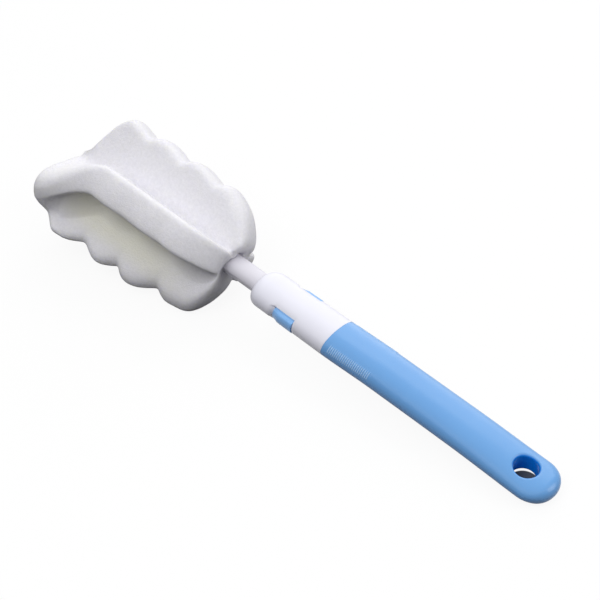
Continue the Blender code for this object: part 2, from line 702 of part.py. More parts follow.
def stand_at_origin(tool):
    """Moves the tool so that the middle of its box's underside is at the world's origin."""
    bpy.context.view_layer.update()
    graph = bpy.context.evaluated_depsgraph_get()
    corners = []
    for obj in bpy.context.scene.objects:
        if obj.type != "MESH" or obj.hide_render:
            continue
        mesh = obj.evaluated_get(graph).to_mesh()
        corners += [obj.matrix_world @ vertex.co for vertex in mesh.vertices]
    low = [min(corner[axis] for corner in corners) for axis in range(3)]
    high = [max(corner[axis] for corner in corners) for axis in range(3)]
    tool.location.x -= (low[0] + high[0]) / 2
    tool.location.y -= (low[1] + high[1]) / 2
    tool.location.z -= low[2]
    bpy.context.view_layer.update()


def main():
    clear_scene()
    foam = make_material("white foam", (0.90, 0.89, 0.92), 0.95)
    white = make_material("white plastic", (0.86, 0.86, 0.89), 0.45)
    blue = make_material("light blue plastic", (0.25, 0.52, 0.86), 0.25)
    latch_blue = make_material("latch blue plastic", (0.16, 0.42, 0.80), 0.35)

    tool = make_empty("tool")
    head = make_empty("head_slide", tool)
    slope, height = rest_line()
    floor = make_floor_cutter(head, slope, height)
    make_foam(head, foam, floor)
    make_stem(head, white)
    make_neck(head, white)
    make_plug(tool, latch_blue)
    make_arm("latch_arm_front", -1, tool, latch_blue)
    make_arm("latch_arm_rear", 1, tool, latch_blue)
    cavity = make_object("shell_cavity", handle_cavity(), tool)
    hole = make_object("hanging_hole", hanging_hole(), tool)
    make_upper_shell(tool, blue, cavity, hole)
    make_lower_shell(tool, blue, cavity, hole)

    tool.rotation_euler = (0, math.atan(slope), 0)
    stand_at_origin(tool)


main()
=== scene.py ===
import json
import math

import bmesh
import bpy
from mathutils import Matrix, Vector, noise


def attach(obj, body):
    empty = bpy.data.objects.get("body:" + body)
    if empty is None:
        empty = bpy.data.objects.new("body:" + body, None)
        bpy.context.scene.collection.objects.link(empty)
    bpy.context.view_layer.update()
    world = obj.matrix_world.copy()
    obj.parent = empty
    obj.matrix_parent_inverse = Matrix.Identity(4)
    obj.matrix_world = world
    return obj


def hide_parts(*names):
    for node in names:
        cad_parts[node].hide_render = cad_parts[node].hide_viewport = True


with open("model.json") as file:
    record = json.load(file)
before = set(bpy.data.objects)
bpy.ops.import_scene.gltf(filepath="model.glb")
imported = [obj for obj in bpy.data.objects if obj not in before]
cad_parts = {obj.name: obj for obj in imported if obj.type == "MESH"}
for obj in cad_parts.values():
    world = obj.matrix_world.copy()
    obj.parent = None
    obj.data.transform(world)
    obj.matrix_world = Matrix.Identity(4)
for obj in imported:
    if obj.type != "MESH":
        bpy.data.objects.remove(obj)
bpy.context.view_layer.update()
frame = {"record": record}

# All sizes are in metres. x runs along the tool from the foam's tip to the butt, y runs across it,
# and z stands up. Each width, top and underside below is that of a rounded section round the axis.

# Places along the tool, as measured in the photograph
FOAM_END = 0.1060
NOSE_X = 0.1212
WINDOW_X = 0.1353
OPENING_X = 0.1371
WINDOW_END_X = 0.1494
ARM_ROOT_X = 0.1565
SEAM_X = 0.1680
PLUG_END_X = 0.1870
HOLE_X = 0.2760
BUTT_X = 0.2924
UNDERSIDE_FLAT = Vector((0.1980, 0, -0.0058))

# How square the sections are: 2 is an ellipse
POWER = 2.2
BORE_POWER = 2.3
ROUND_POINTS = 96

FRONT_UPPER = Vector((0, -math.sqrt(0.5), math.sqrt(0.5)))
REAR_UPPER = Vector((0, math.sqrt(0.5), math.sqrt(0.5)))
TINY = 1e-6


def tool_frame():
    """The tool's own axes in the world, found from the flat along the handle's underside."""
    flat = next(m for m in frame["record"]["mounts"] if m["name"] == "handle_underside")
    up = -Vector(flat["axis"]).normalized()
    across = Vector((0, 1, 0))
    turn = Matrix((across.cross(up), across, up)).transposed()
    place = Vector(flat["pos_m"]) - turn @ UNDERSIDE_FLAT
    return Matrix.Translation(place) @ turn.to_4x4()


TOOL = tool_frame()


# Shapes


def round_over(share):
    """How far a quarter-round edge has reached, from 0 to 1, at a share of its length."""
    share = min(max(share, 0.0), 1.0)
    return math.sqrt(1 - (1 - share) ** 2)


def smooth(share):
    """A soft step from 0 to 1."""
    share = min(max(share, 0.0), 1.0)
    return share * share * (3 - 2 * share)


def between(start, middle, end, share):
    """A smooth value through three sizes, at a share of the way along."""
    slope = 4 * middle - 3 * start - end
    bend = 2 * start + 2 * end - 4 * middle
    return start + slope * share + bend * share**2


def ease(x, table):
    """A value that runs smoothly between the places of a table of (place, value)."""
    if x <= table[0][0]:
        return table[0][1]
    for (low, first), (high, second) in zip(table, table[1:]):
        if x < high:
            return first + (second - first) * smooth((x - low) / (high - low))
    return table[-1][1]


def level(x, table):
    """A value that runs straight between the places of a table of (place, value)."""
    if x <= table[0][0]:
        return table[0][1]
    for (low, first), (high, second) in zip(table, table[1:]):
        if x < high:
            return first + (second - first) * (x - low) / (high - low)
    return table[-1][1]


def spread(start, end, step):
    """Evenly spaced values from start to end, no further apart than step."""
    count = max(1, math.ceil(abs(end - start) / step - TINY))
    return [start + (end - start) * k / count for k in range(count + 1)]


def even_angles(count):
    return [2 * math.pi * i / count for i in range(count)]


def oval(half_width, top, underside, power, angles):
    """Points (y, z) of a rounded section, whose upper and lower halves may differ in height."""
    points = []
    for angle in angles:
        cos, sin = math.cos(angle), math.sin(angle)
        y = half_width * math.copysign(abs(cos) ** (2 / power), cos)
        z = (top if sin > 0 else underside) * math.copysign(abs(sin) ** (2 / power), sin)
        points.append((y, z))
    return points


def even_oval(half_width, half_height, power, angles):
    return oval(half_width, half_height, half_height, power, angles)


def at(x, points):
    return [Vector((x, y, z)) for y, z in points]


def draw_skin(rings, bm=None):
    """A surface drawn out from ring to ring by extruding a circle's edges."""
    bm = bm or bmesh.new()
    ring = bmesh.ops.create_circle(bm, segments=len(rings[0]), radius=1.0)["verts"]
    for vert, place in zip(ring, rings[0]):
        vert.co = place
    edges = list({edge for vert in ring for edge in vert.link_edges})
    loops = [ring]
    for places in rings[1:]:
        drawn = bmesh.ops.extrude_edge_only(bm, edges=edges)["geom"]
        fresh = {item for item in drawn if isinstance(item, bmesh.types.BMVert)}
        ring = [
            next(other for edge in vert.link_edges if (other := edge.other_vert(vert)) in fresh)
            for vert in ring
        ]
        for vert, place in zip(ring, places):
            vert.co = place
        edges = [
            item
            for item in drawn
            if isinstance(item, bmesh.types.BMEdge) and fresh.issuperset(item.verts)
        ]
        loops.append(ring)
    return bm, loops


def close_ring(bm, ring, centre):
    """Closes a ring of vertices with a fan to one point."""
    edges = [edge for edge in {e for v in ring for e in v.link_edges} if edge.is_boundary]
    drawn = bmesh.ops.extrude_edge_only(bm, edges=edges)["geom"]
    fresh = [item for item in drawn if isinstance(item, bmesh.types.BMVert)]
    bmesh.ops.pointmerge(bm, verts=fresh, merge_co=centre)


def draw_solid(rings):
    """A skin drawn through its rings and closed with a flat face at both ends."""
    bm, loops = draw_skin(rings)
    for loop, places in ((loops[0], rings[0]), (loops[-1], rings[-1])):
        close_ring(bm, loop, Vector((places[0].x, 0, 0)))
    return bm


def add_block(bm, size, centre):
    place = Matrix.Translation(centre) @ Matrix.Diagonal((*size, 1))
    bmesh.ops.create_cube(bm, size=1.0, matrix=place)


def make_piece(name, bm, body, material, replaces):
    """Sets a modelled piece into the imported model's frame, with its finish, on its body."""
    bmesh.ops.transform(bm, matrix=TOOL, verts=bm.verts)
    bmesh.ops.recalc_face_normals(bm, faces=bm.faces)
    mesh = bpy.data.meshes.new(name)
    bm.to_mesh(mesh)
    bm.free()
    mesh.materials.append(material)
    mesh.shade_smooth()
    piece = bpy.data.objects.new(name, mesh)
    bpy.context.scene.collection.objects.link(piece)
    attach(piece, body)
    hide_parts(*replaces)
    return piece


def mark(piece, name, value_at):
    """Keeps a value from 0 to 1 at each vertex, for the finish to read."""
    layer = piece.data.attributes.new(name, "FLOAT", "POINT")
    to_tool = TOOL.inverted()
    for vert, item in zip(piece.data.vertices, layer.data):
        item.value = value_at(to_tool @ vert.co)


SHARPEST = math.radians(40)


def soften(piece, edge_radius):
    bevel = piece.modifiers.new("soft edges", "BEVEL")
    bevel.width = edge_radius
    bevel.segments = 2
    bevel.limit_method = "ANGLE"
    bevel.angle_limit = SHARPEST
    bevel.harden_normals = True


def thicken(piece, wall, edge_radius):
    """Gives an open skin its wall, and rounds the edges that this leaves."""
    solid = piece.modifiers.new("wall", "SOLIDIFY")
    solid.thickness = wall
    solid.offset = -1
    soften(piece, edge_radius)


# Materials


def linear(value):
    """A screen's value from 0 to 255 as an amount of light."""
    value /= 255
    return value / 12.92 if value <= 0.04045 else ((value + 0.055) / 1.055) ** 2.4


def colour(red, green, blue):
    """A colour as seen on a screen, as the values that the shader takes."""
    return (linear(red), linear(green), linear(blue), 1.0)


# Plastics: two shades that drift into each other, roughness, coat and strength of the fine bump
WHITE_PLASTIC = (colour(223, 223, 233), colour(217, 217, 229), 0.42, 0.1, 0.2)
STEM_PLASTIC = (colour(214, 212, 221), colour(206, 204, 213), 0.45, 0.0, 0.2)
HANDLE_BLUE = (colour(100, 158, 216), colour(95, 152, 212), 0.34, 0.6, 0.1)
LATCH_BLUE = (colour(130, 184, 240), colour(122, 177, 237), 0.35, 0.2, 0.1)
DRIFT_SCALE = 55.0
PLASTIC_GRAIN_SCALE = 2600.0
PLASTIC_GRAIN_HEIGHT = 0.00002
COAT_ROUGHNESS = 0.22
DULL_SPECULAR = 0.12

# Colours painted on the handle, each over its own mask
# Painted shade: the handle's underside a darker, deeper blue
UNDERSIDE_SHADE_BLUE = colour(16, 104, 176)
# Painted shade: the hanging hole's wall a deeper, darker blue
BORE_SHADE_BLUE = colour(0, 122, 216)
# Painted highlight: the rib crests a lighter blue
RIB_HIGHLIGHT_BLUE = colour(168, 204, 242)

FOAM_SHADES = (colour(214, 213, 218), colour(242, 241, 246))
# Painted shade: a darker, warmer foam colour in the hollow between the front lobes
PAINTED_HOLLOW_SHADE = colour(234, 233, 224)
FOAM_ROUGHNESS = 0.95
FOAM_SPECULAR = 0.15
CELL_SCALE = 1500.0
PORE_SCALE = 700.0
FOAM_GRAIN_HEIGHT = 0.0002
FOAM_GRAIN_STRENGTH = 0.6
LIGHT_THROUGH_FOAM = 0.5
LIGHT_DEPTH = 0.003
LIGHT_TINT = (1.0, 1.0, 0.8)


def new_material(name, roughness):
    material = bpy.data.materials.new(name)
    material.use_nodes = True
    tree = material.node_tree
    shader = tree.nodes["Principled BSDF"]
    shader.inputs["Roughness"].default_value = roughness
    return material, tree, shader


def plug_in(tree, value, socket):
    """Gives a socket a value, or links another socket to it."""
    if isinstance(value, bpy.types.NodeSocket):
        tree.links.new(value, socket)
    else:
        socket.default_value = value


def add_node(tree, kind, inputs=(), **settings):
    node = tree.nodes.new(kind)
    for key, value in settings.items():
        setattr(node, key, value)
    for key, value in dict(inputs).items():
        plug_in(tree, value, node.inputs[key])
    return node


def add_noise(tree, place, scale, **more):
    inputs = {"Vector": place, "Scale": scale}
    inputs.update({key.capitalize(): value for key, value in more.items()})
    return add_node(tree, "ShaderNodeTexNoise", inputs).outputs["Fac"]


def add_bump(tree, shader, height, strength, distance):
    inputs = {"Height": height, "Strength": strength, "Distance": distance}
    bump = add_node(tree, "ShaderNodeBump", inputs)
    tree.links.new(bump.outputs["Normal"], shader.inputs["Normal"])


def own_place(tree):
    return add_node(tree, "ShaderNodeTexCoord").outputs["Object"]


def marked(tree, layer):
    return add_node(tree, "ShaderNodeAttribute", attribute_name=layer).outputs["Fac"]


def blend(tree, factor, first, second):
    """A colour between two others."""
    mix = add_node(tree, "ShaderNodeMix", data_type="RGBA")
    tree.links.new(factor, mix.inputs["Factor"])
    plug_in(tree, first, mix.inputs[6])
    plug_in(tree, second, mix.inputs[7])
    return mix.outputs[2]


def make_plastic(name, look, marks=(), dull=None):
    """Moulded plastic: a slow drift of colour, its marks of painted shade or highlight, and a
    faint bump, matt where dull.
    """
    tint, shade, roughness, coat, fine = look
    material, tree, shader = new_material(name, roughness)
    place = own_place(tree)
    tone = blend(tree, add_noise(tree, place, DRIFT_SCALE, detail=3.0), tint, shade)
    # Painted shade or highlight from each mark
    for layer, mark_colour in marks:
        tone = blend(tree, marked(tree, layer), tone, mark_colour)
    tree.links.new(tone, shader.inputs["Base Color"])
    grain = add_noise(tree, place, PLASTIC_GRAIN_SCALE, detail=2.0)
    add_bump(tree, shader, grain, fine, PLASTIC_GRAIN_HEIGHT)
    shader.inputs["Coat Weight"].default_value = coat
    shader.inputs["Coat Roughness"].default_value = COAT_ROUGHNESS
    if dull:
        shader.inputs["Specular IOR Level"].default_value = DULL_SPECULAR
        inputs = {"Value": marked(tree, dull), "To Min": coat, "To Max": 0.0}
        weight = add_node(tree, "ShaderNodeMapRange", inputs)
        tree.links.new(weight.outputs[0], shader.inputs["Coat Weight"])
    return material


def make_foam_material():
    """Fine open-cell foam: pale, matt, with a grain of small cells and a few larger pores, and
    painted shade, darker and warmer, in the hollow between the front lobes.
    """
    material, tree, shader = new_material("white foam", FOAM_ROUGHNESS)
    place = own_place(tree)
    cells = add_node(tree, "ShaderNodeTexVoronoi", {"Vector": place, "Scale": CELL_SCALE})
    grain = add_noise(tree, place, PORE_SCALE, detail=5.0, roughness=0.7)
    tone = blend(tree, grain, *FOAM_SHADES)
    # Painted shade, darker and warmer, in the hollow between the front lobes
    tone = blend(tree, marked(tree, "hollow"), tone, PAINTED_HOLLOW_SHADE)
    tree.links.new(tone, shader.inputs["Base Color"])
    both = {0: cells.outputs["Distance"], 1: grain}
    height = add_node(tree, "ShaderNodeMath", both, operation="ADD").outputs[0]
    add_bump(tree, shader, height, FOAM_GRAIN_STRENGTH, FOAM_GRAIN_HEIGHT)
    shader.inputs["Specular IOR Level"].default_value = FOAM_SPECULAR
    shader.inputs["Subsurface Weight"].default_value = LIGHT_THROUGH_FOAM
    shader.inputs["Subsurface Radius"].default_value = LIGHT_TINT
    shader.inputs["Subsurface Scale"].default_value = LIGHT_DEPTH
    return material


# Foam head

LOBE_RADIUS = 0.0307
LOBE_THICKNESS = 0.0150
END_RADIUS = 0.0030
END_RIM = 0.0009
END_SHRINK = 0.0022
END_SHRINK_LENGTH = 0.0060
SWAY_START = 0.0085
THINNEST_HALF = 0.0015
WEB_CORNER = 0.0015
FOAM_STEP = 0.0009
END_STEPS = 7

# Shares that keep a small section whole: of its reach, of its core and of its flats
CORE_SHARE = 0.7
END_SHARE = 0.4
CROWN_SHARE = 0.1
CORNER_SHARE = 0.8
CORNER_WIDTH_SHARE = 0.95
CORNER_REACH_SHARE = 0.5
VALLEY_SHARE = 0.5
WEB_SHARE = 0.95

# Points in each part of a lobe's section
FLAT_POINTS = 14
CORNER_POINTS = 8
BAND_POINTS = 14
VALLEY_POINTS = 14

# Tables of (place, value) along the foam. How far a lobe may reach at places near the tip:
NONE = ((0, 0.0),)
LONG_TIP = (
    (0.0000, 0.0034),
    (0.0045, 0.0064),
    (0.0072, 0.0120),
    (0.0092, 0.0172),
    (0.0112, 0.0222),
    (0.0116, 0.0244),
    (0.0132, 0.0268),
    (0.0165, 0.0300),
    (0.0190, 0.0320),
)
SHORT_TIP = (
    (0.0000, 0.0270),
    (0.0040, 0.0300),
    (0.0090, 0.0322),
    (0.0120, 0.0338),
    (0.0160, 0.0362),
    (0.0210, 0.0400),
)
FRONT_TIP = ((0.0000, 0.0280), (0.0008, 0.0330), (0.0025, 0.0352), (0.0060, 0.0366))
THIN_TIP = ((0, 0.0055), (0.009, 0.0))

# What a lobe is like where it isn't said below.
# gain: how much further it reaches at the tip than at the stem
# bulge: a swelling on its outer edge
# valleys: where the scallops meet, and soft and depth: what these valleys are like
# powers and swells: how each scallop leans, and how far it stands out
# halves: half thickness towards the lobe before and the lobe after, at the root and the outer edge
# crown: how far the outer edge is rounded
# sway and turn: how far the outer edge bends, or the lobe turns (in degrees), towards the next
PLAIN_LOBE = dict(
    gain=0.0,
    bulge=NONE,
    valleys=(0.0318, 0.0541, 0.0764),
    powers=(1.0, 1.0, 1.0, 1.0),
    swells=(0, 0, 0, 0),
    soft=0.15,
    depth=0.0034,
    halves=((0.0075, 0.0075), (0.0075, 0.0075)),
    crown=0.0012,
    sway=NONE,
    turn=NONE,
)
# Each lobe in turn round the axis.
# out and on: its own direction, and that of the lobe after it
# end: where it stops at the stem, and how long its rounding is there
# corners: how far the rounding of its outer corners reaches, before and after
# thin: how much of its halves is missing, before and after
LOBES = (
    PLAIN_LOBE
    | dict(
        out=REAR_UPPER,
        on=FRONT_UPPER,
        tip=LONG_TIP,
        end=(0.1073, 0.0320),
        powers=(0.66, 0.66, 0.66, 0.66),
        soft=0.06,
        corners=(((0, 0.0030),), ((0.070, 0.0036), (0.098, 0.0090))),
        thin=(THIN_TIP, THIN_TIP),
    ),
    PLAIN_LOBE
    | dict(
        out=FRONT_UPPER,
        on=-REAR_UPPER,
        gain=0.0018,
        bulge=((0.004, 0.0040), (0.028, 0.0)),
        tip=FRONT_TIP,
        end=(0.1060, 0.0270),
        soft=0.8,
        depth=0.0022,
        halves=((0.0044, 0.0072), (0.0070, 0.0094)),
        corners=(((0.004, 0.0120), (0.036, 0.0026)), ((0.004, 0.0100), (0.018, 0.0034))),
        turn=((0.002, 37.0), (0.034, 0.0)),
        thin=(NONE, ((0.004, 0.0004), (0.014, 0.0012), (0.026, 0.0))),
    ),
    PLAIN_LOBE
    | dict(
        out=-REAR_UPPER,
        on=-FRONT_UPPER,
        gain=0.0075,
        bulge=((0.030, -0.0013), (0.046, 0.0)),
        tip=SHORT_TIP,
        end=(0.1050, 0.0125),
        valleys=(0.0322, 0.0532, 0.0764),
        powers=(1.0, 1.2, 0.8, 0.8),
        swells=(0, 0, 0.0013, 0),
        depth=0.0036,
        halves=((0.0075, 0.0072), (0.0075, 0.0075)),
        crown=0.0026,
        corners=(((0.006, 0.0030), (0.020, 0.0110)), ((0, 0.0050),)),
        sway=((0, -0.0093), (0.1093, 0.0)),
        thin=(NONE, NONE),
    ),
    PLAIN_LOBE
    | dict(
        out=-FRONT_UPPER,
        on=REAR_UPPER,
        gain=0.0031,
        tip=LONG_TIP,
        end=(0.1070, 0.0300),
        crown=0.0015,
        corners=(((0, 0.0035),), ((0, 0.0035),)),
        thin=(NONE, THIN_TIP),
    ),
)
# The valley after each lobe: the radius of its bottom, and how much of it is filled
VALLEY_RADII = (0.0010, 0.0030, 0.0030, 0.0030)
VALLEY_PULL = 0.39
WEBS = (
    NONE,
    ((0.0150, 0.92), (0.0340, 0.50), (0.0600, 0.32), (0.0950, 0.50)),
    ((0.004, 0.6), (0.016, 0.0)),
    NONE,
)
WEB_STRAIGHTNESS = 0.85

# The end between the two front lobes is one soft face: how much of it is filled, and its bulge
TIP_FILL = ((0.0085, 1.0), (0.0145, 0.0))
TIP_BULGE = 0.0009
PAST_BAND = 3
TIP_SHARES = (0.3, 0.6, 0.8)

# How far the foam is drawn back round the stem, on all sides and besides that in front
TUCK = 0.0024
FRONT_TUCK = 0.0024
TUCK_LENGTH = 0.0140
TUCK_RADIUS = 0.0065
TUCK_FADE = 0.0060
FRONT_REACH = 0.0060
FRONT_FADE = 0.0120

# How the end face rolls in round the stem: how far back, and how near to the stem
ROLL = (
    (0.0002, 0.15),
    (0.0006, 0.34),
    (0.0013, 0.55),
    (0.0022, 0.76),
    (0.0031, 0.92),
    (0.0040, 1),
    (0.0060, 1),
)
STEM_GAP = 0.0001
FOAM_BOTTOM = FOAM_END - 0.0130

SMOOTHINGS = 4
# The slow unevenness of cut foam: height and scale
LUMPS = ((0.00018, 90), (0.00005, 420))

# The hollow between the two front lobes, where the foam's colour is painted darker and warmer as
# shade and bounced light: its ends and side, each with the length of its fade
HOLLOW_START, HOLLOW_START_FADE = 0.002, 0.014
HOLLOW_END, HOLLOW_END_FADE = 0.100, 0.040
HOLLOW_RADIUS, HOLLOW_RADIUS_FADE = 0.034, 0.012
HOLLOW_FACING, HOLLOW_FACING_FADE = 0.72, 0.22
HOLLOW_RISE = 0.15
HOLLOW_CENTRE = 0.001

SHANK = (0.0114, 0.0086)


def scallop(x, lobe):
    """How far the scallops cut in at a place along a lobe."""
    valleys, soft = lobe["valleys"], lobe["soft"]
    pitch = valleys[1] - valleys[0]
    stops = (valleys[0] - pitch, *valleys, valleys[-1] + pitch)
    for number, (low, high) in enumerate(zip(stops, stops[1:])):
        if low <= x <= high:
            share = ((x - low) / (high - low)) ** lobe["powers"][number]
            if (number == 0 and share < 0.5) or (number == len(stops) - 2 and share > 0.5):
                return 0.0
            wave = math.sqrt(math.sin(math.pi * share) ** 2 + soft**2) - soft
            wave /= math.sqrt(1 + soft**2) - soft
            return lobe["depth"] * (1 - wave) - lobe["swells"][number] * wave
    return 0.0


def lobe_reach(x, lobe):
    """How far a lobe's outer edge stands from the axis: rounded at both ends and scalloped."""
    radius = LOBE_RADIUS + lobe["gain"] * (1 - (x / FOAM_END) ** 2) + ease(x, lobe["bulge"])
    last, rounding = lobe["end"]
    outline = radius * round_over((last - x) / rounding) - scallop(x, lobe)
    if x > FOAM_END / 2:
        shrink = END_SHRINK * smooth((x - FOAM_END + END_SHRINK_LENGTH) / END_SHRINK_LENGTH)
        return max(outline, LOBE_THICKNESS / 2 + END_RIM - shrink)
    return min(outline, level(x, lobe["tip"]))


def lobe_outline(x, number):
    """A lobe's section, from the valley before it round its outer edge to the valley after it."""
    lobe = LOBES[number]
    reach = lobe_reach(x, lobe)
    core = min(LOBE_THICKNESS / 2, reach * CORE_SHARE)
    ends = END_RADIUS * (1 - round_over(min(x, FOAM_END - x) / END_RADIUS))
    ends = min(ends, core * END_SHARE)
    sway, turn = ease(x, lobe["sway"]), math.radians(ease(x, lobe["turn"]))
    grown = min((reach - core) / (LOBE_RADIUS - core), 1.0)
    least = min(core, THINNEST_HALF)
    halves = []
    for (root, edge), thin in zip(lobe["halves"], lobe["thin"]):
        missing = ease(x, thin)
        edge = root + (edge - root) * grown
        root = max(min(root - missing, core) - ends, least)
        halves.append((root, max(min(edge - missing, reach * CORE_SHARE) - ends, least)))
    low, high = -halves[0][1], halves[1][1]
    middle, half = (low + high) / 2, (high - low) / 2
    crown = min(lobe["crown"] * grown, reach * CROWN_SHARE)

    def band(v):
        return reach - crown * ((v - middle) / half) ** 2

    def bent(u, v):
        v += sway * (max(u - SWAY_START, 0.0) / (LOBE_RADIUS - SWAY_START)) ** 2
        cos, sin = math.cos(turn), math.sin(turn)
        return lobe["out"] * (u * cos - v * sin) + lobe["on"] * (u * sin + v * cos)

    def flat(u, side):
        share = min(max((u - core) / (reach - core), 0.0), 1.0)
        root, edge = halves[0 if side < 0 else 1]
        return side * (root + (edge - root) * share)

    def side_line(side, valley, edge, rounding):
        """One side, from its root to its outer corner, and how far across the corner ends."""
        web = ease(x, WEBS[valley])
        rounding += (WEB_CORNER - rounding) * web
        flat_end = reach - crown - min(rounding, (reach - core) * CORNER_SHARE)
        round_v = min(rounding, half * CORNER_WIDTH_SHARE, reach * CORNER_REACH_SHARE)
        stop_v = edge - side * round_v
        root = core + min(VALLEY_RADII[valley], max(flat_end - core, 0) * VALLEY_SHARE)
        root += (flat_end - root) * WEB_SHARE * web
        heights = [root + (flat_end - root) * k / FLAT_POINTS for k in range(FLAT_POINTS)]
        line = [(u, flat(u, side)) for u in heights]
        pulls = ((flat_end, flat(flat_end, side)), (reach - crown, edge), (band(stop_v), stop_v))
        for k in range(CORNER_POINTS):
            t = k / CORNER_POINTS
            weights = ((1 - t) ** 2, 2 * t * (1 - t), t * t)
            line.append(tuple(sum(w * p[i] for w, p in zip(weights, pulls)) for i in (0, 1)))
        return line, stop_v

    corners = [ease(x, corner) for corner in lobe["corners"]]
    before, low_v = side_line(-1, (number - 1) % 4, low, corners[0])
    after, high_v = side_line(1, number, high, corners[1])
    across = [low_v + (high_v - low_v) * k / BAND_POINTS for k in range(BAND_POINTS + 1)]
    points = before + [(band(v), v) for v in across] + after[::-1]
    return [bent(u, v) for u, v in points]


def foam_ring(x):
    """The whole four-lobed section at one place, with its valleys drawn as soft curves."""
    outlines = [lobe_outline(x, number) for number in range(4)]
    ring = []
    for number, points in enumerate(outlines):
        following = outlines[(number + 1) % 4]
        ring += points
        start, end = points[-1], following[0]
        in_line = (points[-1] - points[-2]).normalized()
        out_line = (following[0] - following[1]).normalized()
        pull = (end - start).length * VALLEY_PULL
        web = WEB_STRAIGHTNESS * ease(x, WEBS[number])
        for k in range(1, VALLEY_POINTS):
            t = k / VALLEY_POINTS
            a, b = start + in_line * pull, end + out_line * pull
            curve = start * (1 - t) ** 3 + a * 3 * t * (1 - t) ** 2
            curve += b * 3 * t * t * (1 - t) + end * t**3
            ring.append(curve.lerp(start.lerp(end, t), web))
    fill_tip(x, ring, len(outlines[0]) + VALLEY_POINTS - 1)
    return [Vector((x - tucked_in(x, p), p.y, p.z)) for p in ring]


def fill_tip(x, ring, period):
    """Draws the section straight between the two front lobes' outer corners near the tip."""
    share = ease(x, TIP_FILL)
    corner = FLAT_POINTS + CORNER_POINTS
    first = period + corner + BAND_POINTS + PAST_BAND
    last = 2 * period + corner - 1
    start, end = ring[first], ring[last]
    out = (end - start).cross(Vector((1, 0, 0))).normalized()
    out *= math.copysign(TIP_BULGE, out.dot(start + end))
    for k in range(first + 1, last):
        t = (k - first) / (last - first)
        straight = start.lerp(end, t) + out * 4 * t * (1 - t)
        ring[k] = ring[k].lerp(straight, share)


def tucked_in(x, place):
    """How far the foam's end face is drawn back round the stem, most on the front lobes' side."""
    front = smooth((FRONT_REACH - place.dot(REAR_UPPER)) / FRONT_FADE)
    near = 1 - smooth((place.length - TUCK_RADIUS) / TUCK_FADE)
    along = smooth((x - FOAM_END + TUCK_LENGTH) / TUCK_LENGTH)
    return (TUCK + FRONT_TUCK * front) * along * near


def foam_places():
    rounds = [END_RADIUS * (1 - math.cos(math.pi / 2 * k / END_STEPS)) for k in range(END_STEPS)]
    places = list(rounds)
    places += spread(END_RADIUS, FOAM_END - END_RADIUS, FOAM_STEP)
    places += [FOAM_END - x for x in reversed(rounds)]
    return places


def rolled_in(last):
    """Rings that take the foam's end face in round the stem, and on into the foam."""
    half_width, half_height = (size / 2 + STEM_GAP for size in SHANK)
    rings = []
    for back, share in ROLL:
        ring = []
        for p in last:
            angle = math.atan2(p.z / SHANK[1], p.y / SHANK[0])
            [(y, z)] = even_oval(half_width, half_height, 2, [angle])
            ring.append(Vector((p.x - back, p.y + (y - p.y) * share, p.z + (z - p.z) * share)))
        rings.append(ring)
    return rings


def lumps(place):
    return sum(height * noise.noise(place * scale) for height, scale in LUMPS)


def hollow_shade_mask(place):
    """How deep a place lies in the hollow between the two front lobes, where the foam's colour is
    painted darker and warmer, as shade and bounced light.
    """
    out = math.hypot(place.y, place.z)
    facing = -(place.y + HOLLOW_RISE * place.z) / max(out, HOLLOW_CENTRE)
    along = smooth((place.x - HOLLOW_START) / HOLLOW_START_FADE)
    along *= smooth((HOLLOW_END - place.x) / HOLLOW_END_FADE)
    within = smooth((HOLLOW_RADIUS - out) / HOLLOW_RADIUS_FADE)
    return along * within * smooth((facing - HOLLOW_FACING) / HOLLOW_FACING_FADE)


def make_foam():
    rings = [foam_ring(x) for x in foam_places()]
    first, last = rings[0], rings[-1]
    tip = [[Vector((p.x, p.y * share, p.z * share)) for p in first] for share in TIP_SHARES]
    bm, loops = draw_skin(tip + rings + rolled_in(last))
    close_ring(bm, loops[0], Vector((0, 0, 0)))
    close_ring(bm, loops[-1], Vector((FOAM_BOTTOM, 0, 0)))
    free = [vert for loop in loops[2:-3] for vert in loop]
    axes = dict(use_axis_x=True, use_axis_y=True, use_axis_z=True)
    for _ in range(SMOOTHINGS):
        bmesh.ops.smooth_vert(bm, verts=free, factor=0.5, **axes)
    bmesh.ops.recalc_face_normals(bm, faces=bm.faces)
    bm.normal_update()
    moves = [(vert, vert.normal * lumps(vert.co)) for vert in free]
    to_tool = TOOL.inverted()
    for vert, move in moves:
        vert.co += move
        world = TOOL @ vert.co
        if world.z < 0:
            world.z = 0
            vert.co = to_tool @ world
    nodes = ("foam_slab", "foam_wing_front", "foam_wing_rear")
    foam = make_piece("foam_head", bm, "head", make_foam_material(), nodes)
    # Painted shade in the hollow between the front lobes
    mark(foam, "hollow", hollow_shade_mask)


# Stem

ROD_RADIUS = 0.0033
ROD_X = 0.0100
ROD_STEP = 0.0002
SHANK_STEP = 0.0005
FLANGE_X = 0.1278
FLANGE_END_X = 0.1305
FLANGE_GAP = 0.0003
STEM_EDGE = 0.0003
# A shallow groove along both sides of the shank
GROOVE_X = FOAM_END - 0.010
GROOVE_END_X = NOSE_X - 0.0006
GROOVE_Z = -0.0012
GROOVE_HALF = 0.0014
GROOVE_DEPTH = 0.00045
GROOVE_FADE = 0.0020
GROOVE_SIDE = 0.0009

NECK_BORE = (0.0205, 0.0102)


